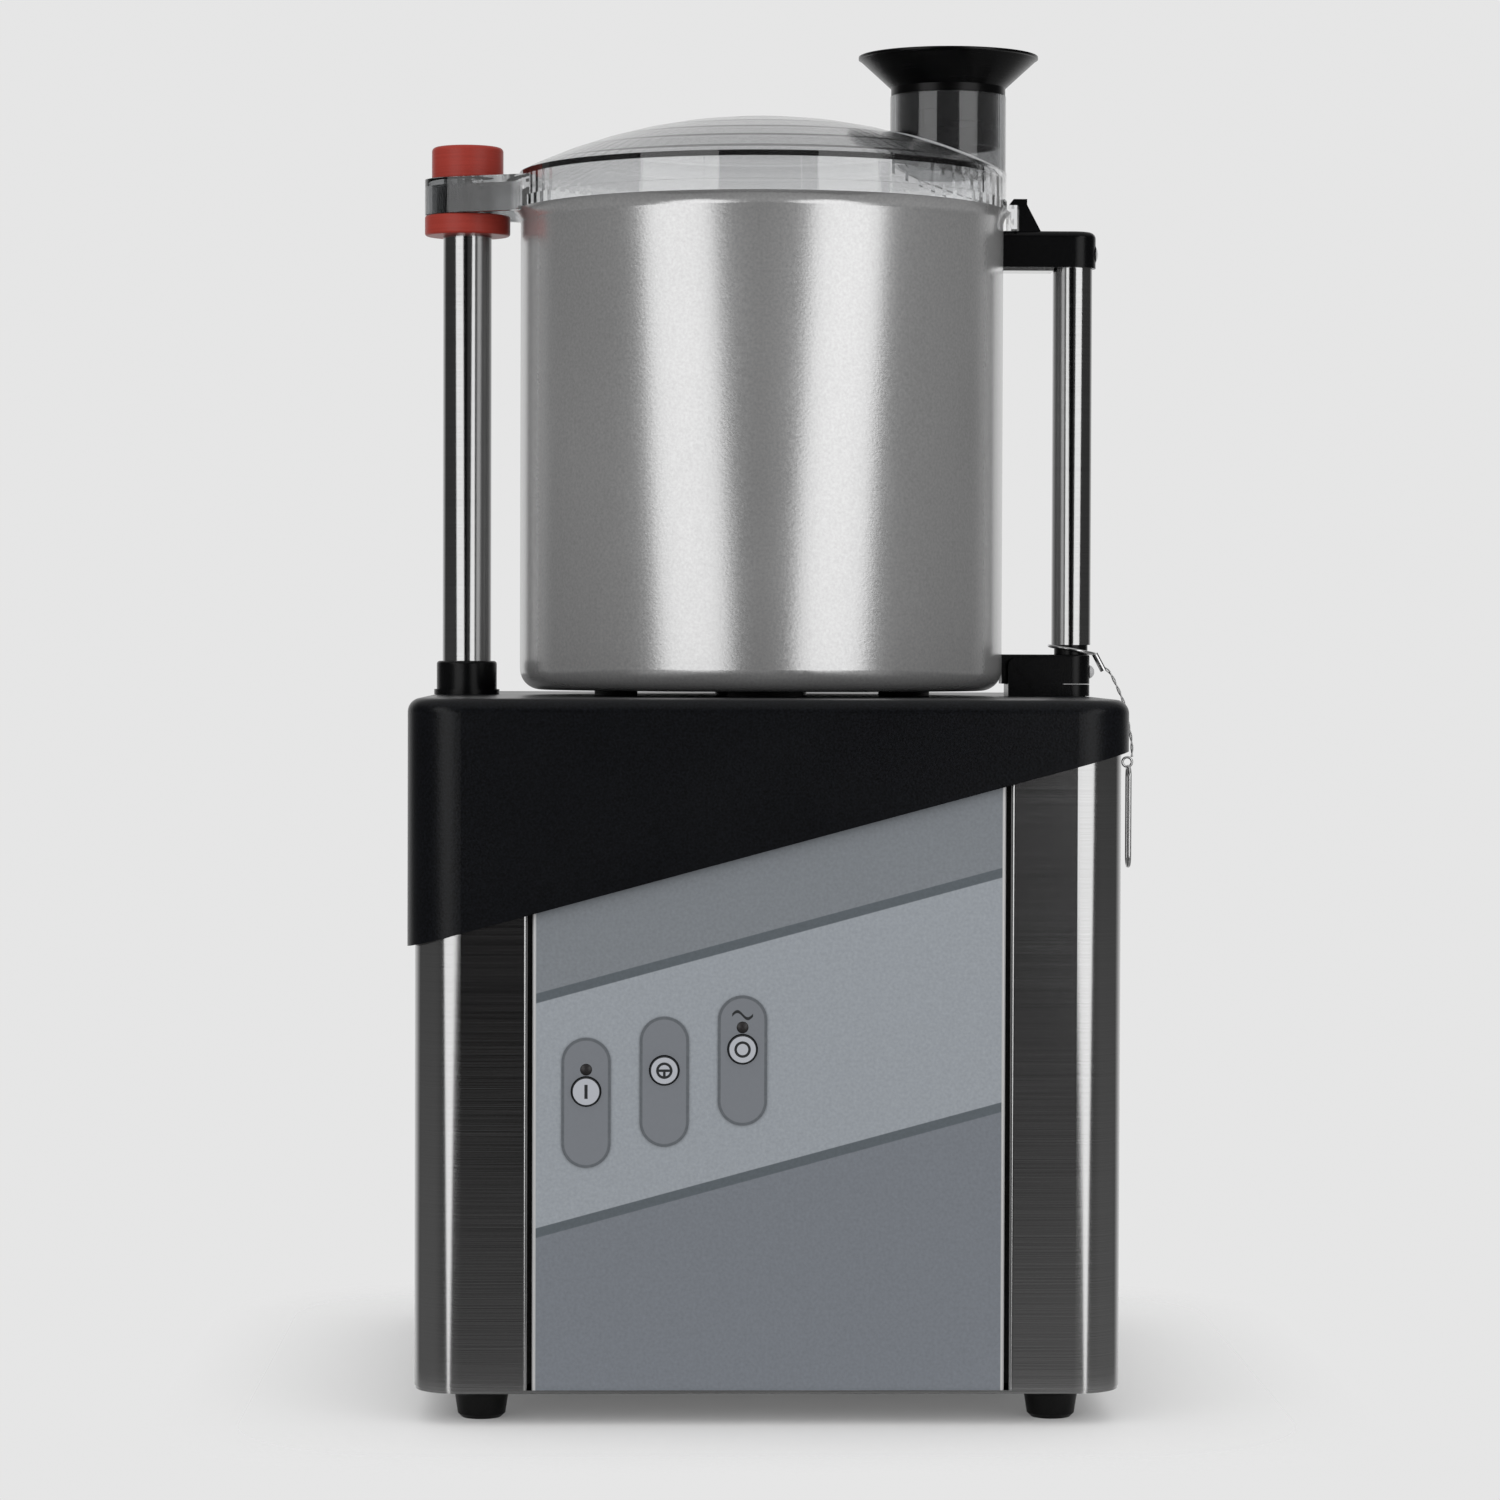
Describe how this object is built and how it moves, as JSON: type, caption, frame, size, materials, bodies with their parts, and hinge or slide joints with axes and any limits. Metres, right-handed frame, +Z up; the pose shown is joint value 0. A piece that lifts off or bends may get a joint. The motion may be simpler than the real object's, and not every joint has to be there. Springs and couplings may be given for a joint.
{
  "type": "vertical cutter mixer",
  "caption": "Table-top cutter mixer: box housing with sloping cover, lift-off steel bowl with handle, clear turning lid with feed tube and funnel, and a two-bladed knife.",
  "frame": {"origin": "on the table under the bowl's axis, in the middle of the housing", "axes": "+Z up along the bowl's axis, -Y towards the control panel, +X towards the bowl's handle"},
  "size_m": [0.2716, 0.28, 0.5008],
  "materials": {
    "steel": "satin",
    "bright_steel": "polished",
    "black_plastic": "grained",
    "black_gloss": "smooth",
    "grey_panel": "fine texture",
    "well_grey": "matt film",
    "key_white": "smooth",
    "lamp_dark": "smooth",
    "red_plastic": "turned",
    "clear_plastic": "clear",
    "rubber": "matt",
    "seal_rubber": "matt",
    "board_green": "matt",
    "cast_aluminium": "cast",
    "copper": "enamelled"
  },
  "bodies": {
    "base": {"bottom_tray": "steel", "body_shell": "steel", "front_panel": "grey_panel", "key_wells": "well_grey", "indicator_lamps": "lamp_dark", "keypad_board": "board_green", "control_board": "board_green", "board_bracket": "steel", "capacitor": "cast_aluminium", "capacitor_clamp": "steel", "cable_gland": "black_plastic", "top_cover": "black_plastic", "seat_pads": "rubber", "handle_cradle": "black_gloss", "post_boss": "black_gloss", "lid_post": "bright_steel", "post_nut": "bright_steel", "post_collar": "red_plastic", "reed_switch": "cast_aluminium", "feet": "rubber", "foot_screws": "bright_steel", "motor_plate": "steel", "motor_frame": "cast_aluminium", "stator": "copper", "upper_end_shield": "cast_aluminium", "lower_end_shield": "cast_aluminium", "upper_bearing": "bright_steel", "lower_bearing": "bright_steel", "shaft_seal": "rubber", "motor_bolts": "bright_steel"},
    "drive": {"drive_shaft": "bright_steel", "motor_rotor": "cast_aluminium", "cooling_fan": "black_plastic"},
    "bowl": {"bowl": "steel", "upper_strap": "bright_steel", "handle_studs": "bright_steel", "upper_bracket": "black_gloss", "lower_bracket": "black_gloss", "grip_tube": "bright_steel", "handle_screws": "bright_steel", "lanyard_loop": "bright_steel", "lanyard_ferrule": "bright_steel", "lanyard_wire": "bright_steel", "lanyard_clip": "bright_steel"},
    "knife": {"knife_hub": "bright_steel", "lower_blade": "bright_steel", "blade_spacer": "black_plastic", "upper_blade": "bright_steel", "clamp_ring": "bright_steel", "hub_knob": "black_plastic"},
    "lid": {"lid": "clear_plastic", "lid_seal": "seal_rubber", "magnet_sleeve": "bright_steel", "lid_magnet": "cast_aluminium", "magnet_cap": "red_plastic"},
    "funnel": {"funnel": "black_gloss"},
    "start_key": {"start_key": "key_white"},
    "pulse_key": {"pulse_key": "key_white"},
    "stop_key": {"stop_key": "key_white"}
  },
  "joints": [
    {"name": "drive_spin", "type": "hinge", "parent": "base", "child": "drive", "pos_m": [0, 0, 0], "axis": [0, 0, 1], "continuous": true},
    {"name": "bowl_lift", "type": "slide", "parent": "base", "child": "bowl", "axis": [0, 0, 1], "range_m": [0, 0.12]},
    {"name": "knife_spin", "type": "hinge", "parent": "bowl", "child": "knife", "pos_m": [0, 0, 0], "axis": [0, 0, 1], "continuous": true},
    {"name": "lid_turn", "type": "hinge", "parent": "bowl", "child": "lid", "pos_m": [0, 0, 0], "axis": [0, 0, 1], "range_deg": [0, 30]},
    {"name": "funnel_lift", "type": "slide", "parent": "lid", "child": "funnel", "axis": [0, 0, 1], "range_m": [0, 0.05]},
    {"name": "start_press", "type": "slide", "parent": "base", "child": "start_key", "axis": [0, 1, 0], "range_m": [0, 0.0006], "stiffness_N_per_m": 800},
    {"name": "pulse_press", "type": "slide", "parent": "base", "child": "pulse_key", "axis": [0, 1, 0], "range_m": [0, 0.0006], "stiffness_N_per_m": 800},
    {"name": "stop_press", "type": "slide", "parent": "base", "child": "stop_key", "axis": [0, 1, 0], "range_m": [0, 0.0006], "stiffness_N_per_m": 800}
  ],
  "couplings": [
    {"joint": "knife_spin", "follows": "drive_spin", "ratio": 1}
  ]
}
